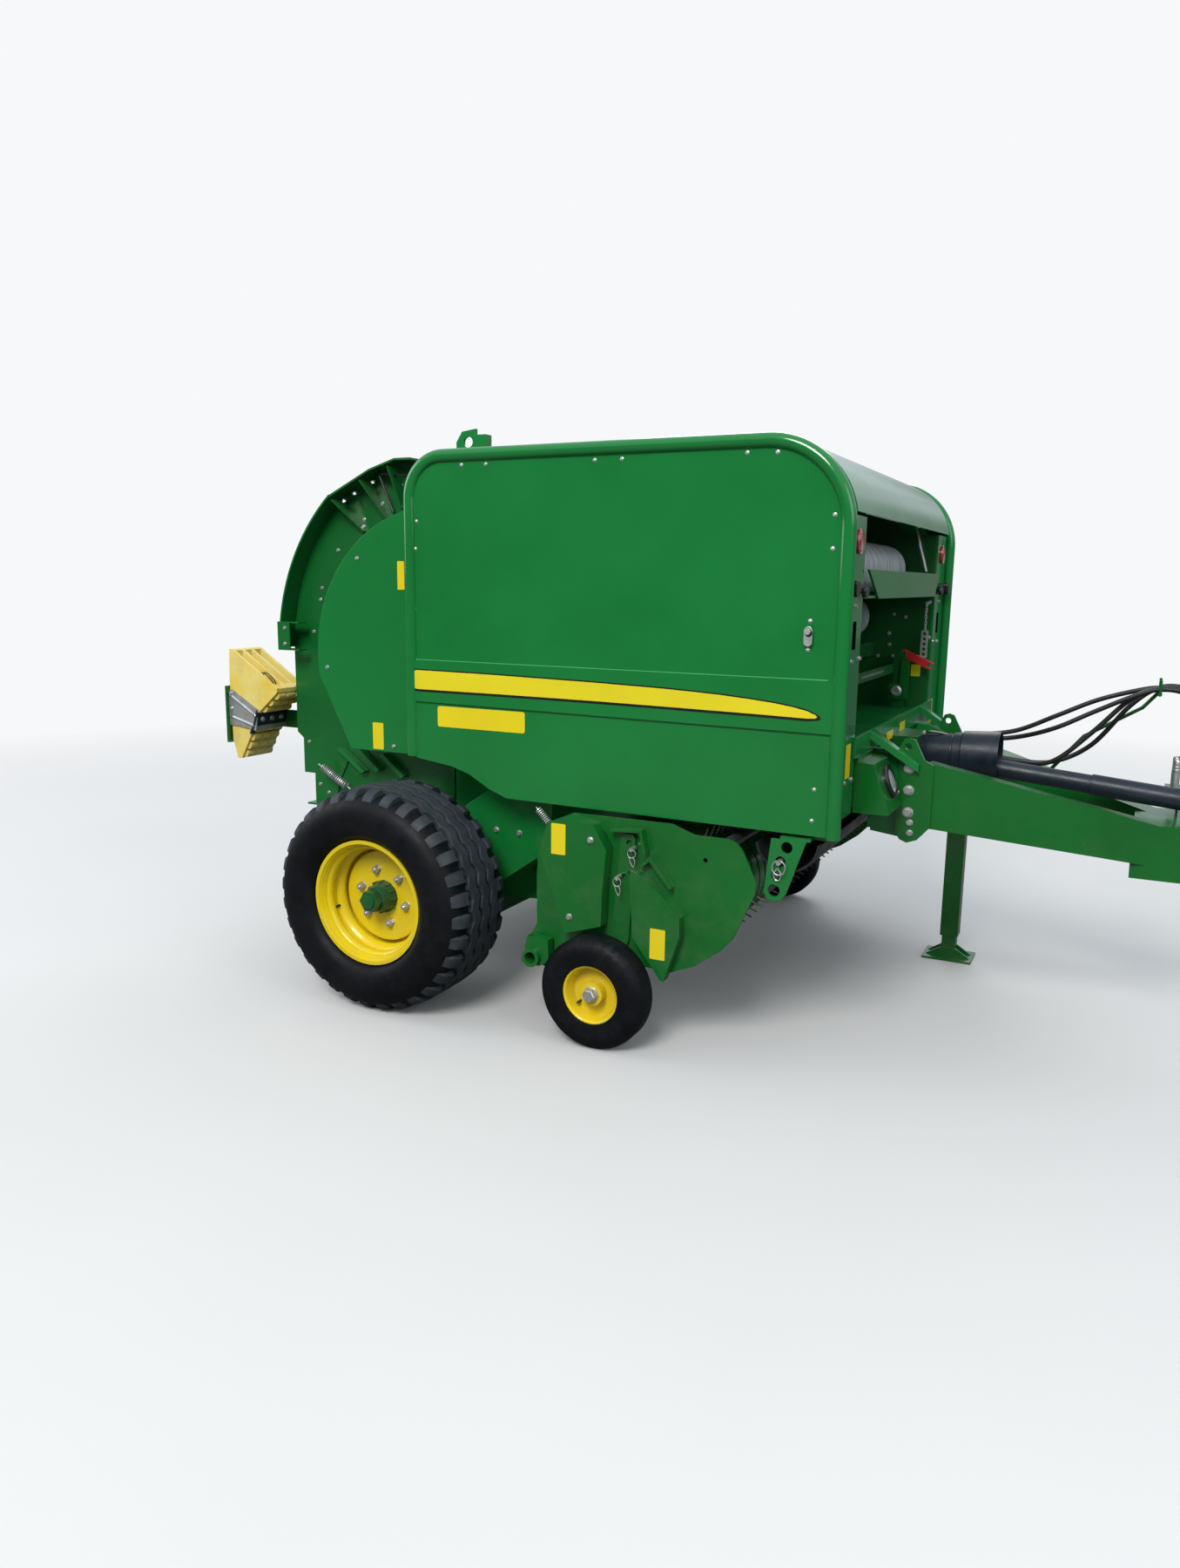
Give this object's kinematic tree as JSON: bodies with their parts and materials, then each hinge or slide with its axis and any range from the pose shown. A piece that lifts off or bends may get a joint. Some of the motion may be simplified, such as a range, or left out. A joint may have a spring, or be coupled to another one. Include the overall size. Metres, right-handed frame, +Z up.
{
  "type": "round baler",
  "caption": "Towed round baler with a fixed bale chamber of ribbed rollers, tined pick-up, gull-wing side shields, drawbar and lifting tailgate.",
  "frame": {"origin": "on the ground, under the middle of the machine's length and width", "axes": "+X forward, towards the tractor; +Y to the machine's left; +Z up"},
  "size_m": [4.136, 2.5, 2.166],
  "materials": {
    "green_paint": "gloss",
    "dark_green_paint": "gloss",
    "yellow_paint": "gloss",
    "yellow_plastic": "satin",
    "black_plastic": "satin",
    "hose_rubber": "matte",
    "steel": "satin",
    "red_paint": "gloss",
    "net": "matte",
    "lamp_red": "gloss",
    "tyre_black": "matte"
  },
  "bodies": {
    "frame": {"side_plates": "green_paint", "frame_pins": "dark_green_paint", "side_guards": "green_paint", "cross_beams": "dark_green_paint", "roof": "green_paint", "front_posts": "green_paint", "platform": "green_paint", "axle": "green_paint", "front_rollers": "green_paint", "drawbar": "green_paint", "hitch_eye": "dark_green_paint", "gearbox": "dark_green_paint", "pto_guard": "black_plastic", "pto_shaft": "black_plastic", "net_tray": "green_paint", "net_rolls": "net", "net_feed": "steel", "net_lever": "red_paint", "light_boxes": "green_paint", "lamps": "lamp_red", "baffle": "black_plastic", "hose_ports": "steel", "hose_1": "hose_rubber", "hose_2": "hose_rubber", "hose_3": "hose_rubber", "hose_4": "hose_rubber"},
    "tailgate": {"tailgate_sides": "green_paint", "tailgate_covers": "green_paint", "tailgate_rollers": "green_paint", "tailgate_bars": "dark_green_paint", "chock_holder": "steel", "wheel_chocks": "yellow_plastic"},
    "side_shield_right": {"side_shield_right": "green_paint"},
    "side_shield_left": {"side_shield_left": "green_paint"},
    "hood": {"hood": "green_paint"},
    "pickup": {"pickup_sides": "green_paint", "pickup_bands": "green_paint", "wind_guard": "black_plastic", "gauge_arms": "green_paint"},
    "tine_reel": {"tine_reel": "steel"},
    "feed_rotor": {"feed_rotor": "green_paint"},
    "gauge_wheel_right": {"gauge_tyre_right": "tyre_black", "gauge_rim_right": "yellow_paint"},
    "gauge_wheel_left": {"gauge_tyre_left": "tyre_black", "gauge_rim_left": "yellow_paint"},
    "wheel_right": {"tyre_right": "tyre_black", "rim_right": "yellow_paint", "hub_right": "green_paint"},
    "wheel_left": {"tyre_left": "tyre_black", "rim_left": "yellow_paint", "hub_left": "green_paint"},
    "jack": {"jack": "green_paint"},
    "ram_barrel_right": {"ram_barrel_right": "dark_green_paint"},
    "ram_rod_right": {"ram_rod_right": "steel"},
    "ram_barrel_left": {"ram_barrel_left": "dark_green_paint"},
    "ram_rod_left": {"ram_rod_left": "steel"}
  },
  "joints": [
    {"name": "wheel_right_spin", "type": "hinge", "parent": "frame", "child": "wheel_right", "pos_m": [-0.918, -1.055, 0.4235], "axis": [0, 1, 0], "continuous": true},
    {"name": "wheel_left_spin", "type": "hinge", "parent": "frame", "child": "wheel_left", "pos_m": [-0.918, 1.055, 0.4235], "axis": [0, 1, 0], "continuous": true},
    {"name": "gauge_wheel_right_spin", "type": "hinge", "parent": "pickup", "child": "gauge_wheel_right", "pos_m": [-0.034, -1.074, 0.2], "axis": [0, 1, 0], "continuous": true},
    {"name": "gauge_wheel_left_spin", "type": "hinge", "parent": "pickup", "child": "gauge_wheel_left", "pos_m": [-0.034, 1.074, 0.2], "axis": [0, 1, 0], "continuous": true},
    {"name": "tailgate_lift", "type": "hinge", "parent": "frame", "child": "tailgate", "pos_m": [-0.932, 0, 1.985], "axis": [0, 1, 0], "range_deg": [0, 72]},
    {"name": "ram_swing_right", "type": "hinge", "parent": "frame", "child": "ram_barrel_right", "pos_m": [-0.588, -0.68, 1.18], "axis": [0, 1, 0], "range_deg": [0, 12.8]},
    {"name": "ram_swing_left", "type": "hinge", "parent": "frame", "child": "ram_barrel_left", "pos_m": [-0.588, 0.68, 1.18], "axis": [0, 1, 0], "range_deg": [0, 12.8]},
    {"name": "ram_slide_right", "type": "slide", "parent": "ram_barrel_right", "child": "ram_rod_right", "axis": [-0.7192, 0, 0.6948], "range_m": [0, 0.343]},
    {"name": "ram_slide_left", "type": "slide", "parent": "ram_barrel_left", "child": "ram_rod_left", "axis": [-0.7192, 0, 0.6948], "range_m": [0, 0.343]},
    {"name": "side_shield_right_lift", "type": "hinge", "parent": "frame", "child": "side_shield_right", "pos_m": [-0.568, -0.87, 2.05], "axis": [-1, 0, 0], "range_deg": [0, 80]},
    {"name": "side_shield_left_lift", "type": "hinge", "parent": "frame", "child": "side_shield_left", "pos_m": [-0.568, 0.87, 2.05], "axis": [1, 0, 0], "range_deg": [0, 80]},
    {"name": "hood_lift", "type": "hinge", "parent": "frame", "child": "hood", "pos_m": [0.218, 0, 2.046], "axis": [0, -1, 0], "range_deg": [0, 60]},
    {"name": "pickup_lift", "type": "hinge", "parent": "frame", "child": "pickup", "pos_m": [-0.258, 0, 0.62], "axis": [0, 1, 0], "range_deg": [0, 18]},
    {"name": "tine_reel_spin", "type": "hinge", "parent": "pickup", "child": "tine_reel", "pos_m": [0.212, 0, 0.555], "axis": [0, 1, 0], "continuous": true},
    {"name": "feed_rotor_spin", "type": "hinge", "parent": "frame", "child": "feed_rotor", "pos_m": [-0.258, 0, 0.62], "axis": [0, 1, 0], "continuous": true},
    {"name": "jack_swing", "type": "hinge", "parent": "frame", "child": "jack", "pos_m": [0.912, 0.507, 0.82], "axis": [0, -1, 0], "range_deg": [0, 180]}
  ],
  "couplings": [
    {"joint": "ram_swing_right", "follows": "tailgate_lift", "ratio": 0.17121},
    {"joint": "ram_slide_right", "follows": "tailgate_lift", "m_per_rad": 0.27107},
    {"joint": "ram_swing_left", "follows": "tailgate_lift", "ratio": 0.17121},
    {"joint": "ram_slide_left", "follows": "tailgate_lift", "m_per_rad": 0.27107}
  ]
}
